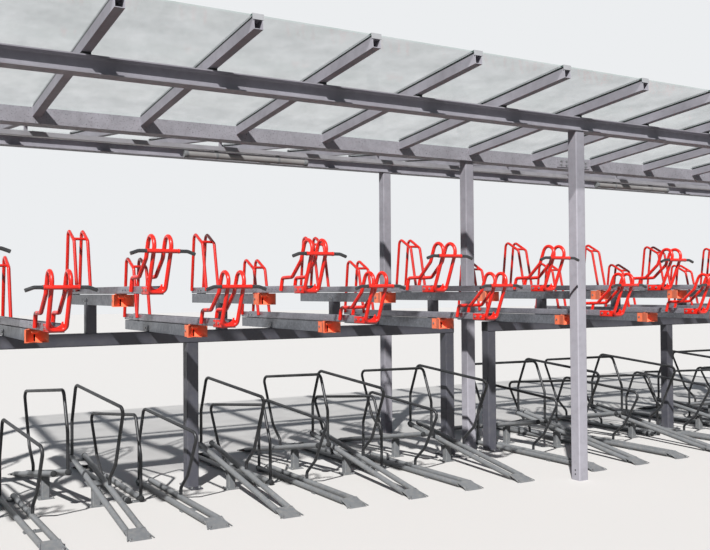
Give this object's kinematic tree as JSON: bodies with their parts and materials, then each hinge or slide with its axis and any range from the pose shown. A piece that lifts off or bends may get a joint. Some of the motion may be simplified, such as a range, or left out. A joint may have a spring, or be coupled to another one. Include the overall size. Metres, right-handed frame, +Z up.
{
  "type": "bike shelter",
  "caption": "Open steel bicycle shelter with a glass roof that falls to a middle gutter and a two-tier rack with pull-out upper trays and fixed lower rails.",
  "frame": {"origin": "on the floor, on the axis of the middle column between the two bays", "axes": "+X along the shelter, +Y from the front with the rack to the rear, +Z up"},
  "size_m": [11.6, 4.5122, 3.2354],
  "materials": {
    "frame_paint": "satin paint over galvanised steel",
    "gasket_rubber": "matt",
    "roof_glass": "clear laminated glass",
    "cover_aluminium": "satin anodised",
    "trunking_paint": "light grey paint",
    "lamp_plastic": "clouded tube",
    "rack_paint": "anthracite powder coat",
    "galvanised_steel": "dull zinc",
    "guide_plastic": "moulded, orange",
    "rail_steel": "worn paint on steel",
    "hoop_paint": "black powder coat",
    "tray_paint": "anthracite powder coat",
    "holder_red": "bright red powder coat",
    "grip_rubber": "soft, matt",
    "bolt_steel": "zinc plated"
  },
  "bodies": {
    "shelter": {"front_columns": "frame_paint", "middle_columns": "frame_paint", "rear_columns": "frame_paint", "front_beam": "frame_paint", "rear_beam": "frame_paint", "gutter_beam": "frame_paint", "gutter_splices": "frame_paint", "front_rafters": "frame_paint", "rear_rafters": "frame_paint", "rafter_packers": "gasket_rubber", "glazing_gaskets": "gasket_rubber", "front_glass": "roof_glass", "rear_glass": "roof_glass", "cover_strips": "cover_aluminium", "rafter_caps": "cover_aluminium", "cable_trunking": "trunking_paint", "trunking_hangers": "frame_paint", "tube_lights": "lamp_plastic", "rack_posts": "rack_paint", "rack_beams": "rack_paint", "stub_posts": "rack_paint", "low_tracks": "galvanised_steel", "high_tracks": "galvanised_steel", "track_guides": "guide_plastic", "flat_rails": "rail_steel", "raised_rails": "rail_steel", "rail_posts": "rail_steel", "flat_rail_hoops": "hoop_paint", "raised_rail_hoops": "hoop_paint"},
    "pull_tray_01": {"tray_01": "tray_paint"},
    "pull_tray_02": {"tray_02": "tray_paint"},
    "pull_tray_03": {"tray_03": "tray_paint"},
    "pull_tray_04": {"tray_04": "tray_paint"},
    "pull_tray_05": {"tray_05": "tray_paint"},
    "pull_tray_06": {"tray_06": "tray_paint"},
    "pull_tray_07": {"tray_07": "tray_paint"},
    "pull_tray_08": {"tray_08": "tray_paint"},
    "pull_tray_09": {"tray_09": "tray_paint"},
    "pull_tray_10": {"tray_10": "tray_paint"},
    "pull_tray_11": {"tray_11": "tray_paint"},
    "pull_tray_12": {"tray_12": "tray_paint"},
    "pull_tray_13": {"tray_13": "tray_paint"},
    "pull_tray_14": {"tray_14": "tray_paint"},
    "pull_tray_15": {"tray_15": "tray_paint"},
    "pull_tray_16": {"tray_16": "tray_paint"},
    "pull_tray_17": {"tray_17": "tray_paint"},
    "pull_tray_18": {"tray_18": "tray_paint"},
    "pull_tray_19": {"tray_19": "tray_paint"},
    "pull_tray_20": {"tray_20": "tray_paint"}
  },
  "joints": [
    {"name": "tray_01_slide", "type": "slide", "parent": "shelter", "child": "pull_tray_01", "axis": [0, -1, 0], "range_m": [0, 1.1]},
    {"name": "tray_02_slide", "type": "slide", "parent": "shelter", "child": "pull_tray_02", "axis": [0, -1, 0], "range_m": [0, 1.1]},
    {"name": "tray_03_slide", "type": "slide", "parent": "shelter", "child": "pull_tray_03", "axis": [0, -1, 0], "range_m": [0, 1.1]},
    {"name": "tray_04_slide", "type": "slide", "parent": "shelter", "child": "pull_tray_04", "axis": [0, -1, 0], "range_m": [0, 1.1]},
    {"name": "tray_05_slide", "type": "slide", "parent": "shelter", "child": "pull_tray_05", "axis": [0, -1, 0], "range_m": [0, 1.1]},
    {"name": "tray_06_slide", "type": "slide", "parent": "shelter", "child": "pull_tray_06", "axis": [0, -1, 0], "range_m": [0, 1.1]},
    {"name": "tray_07_slide", "type": "slide", "parent": "shelter", "child": "pull_tray_07", "axis": [0, -1, 0], "range_m": [0, 1.1]},
    {"name": "tray_08_slide", "type": "slide", "parent": "shelter", "child": "pull_tray_08", "axis": [0, -1, 0], "range_m": [0, 1.1]},
    {"name": "tray_09_slide", "type": "slide", "parent": "shelter", "child": "pull_tray_09", "axis": [0, -1, 0], "range_m": [0, 1.1]},
    {"name": "tray_10_slide", "type": "slide", "parent": "shelter", "child": "pull_tray_10", "axis": [0, -1, 0], "range_m": [0, 1.1]},
    {"name": "tray_11_slide", "type": "slide", "parent": "shelter", "child": "pull_tray_11", "axis": [0, -1, 0], "range_m": [0, 1.1]},
    {"name": "tray_12_slide", "type": "slide", "parent": "shelter", "child": "pull_tray_12", "axis": [0, -1, 0], "range_m": [0, 1.1]},
    {"name": "tray_13_slide", "type": "slide", "parent": "shelter", "child": "pull_tray_13", "axis": [0, -1, 0], "range_m": [0, 1.1]},
    {"name": "tray_14_slide", "type": "slide", "parent": "shelter", "child": "pull_tray_14", "axis": [0, -1, 0], "range_m": [0, 1.1]},
    {"name": "tray_15_slide", "type": "slide", "parent": "shelter", "child": "pull_tray_15", "axis": [0, -1, 0], "range_m": [0, 1.1]},
    {"name": "tray_16_slide", "type": "slide", "parent": "shelter", "child": "pull_tray_16", "axis": [0, -1, 0], "range_m": [0, 1.1]},
    {"name": "tray_17_slide", "type": "slide", "parent": "shelter", "child": "pull_tray_17", "axis": [0, -1, 0], "range_m": [0, 1.1]},
    {"name": "tray_18_slide", "type": "slide", "parent": "shelter", "child": "pull_tray_18", "axis": [0, -1, 0], "range_m": [0, 1.1]},
    {"name": "tray_19_slide", "type": "slide", "parent": "shelter", "child": "pull_tray_19", "axis": [0, -1, 0], "range_m": [0, 1.1]},
    {"name": "tray_20_slide", "type": "slide", "parent": "shelter", "child": "pull_tray_20", "axis": [0, -1, 0], "range_m": [0, 1.1]}
  ]
}
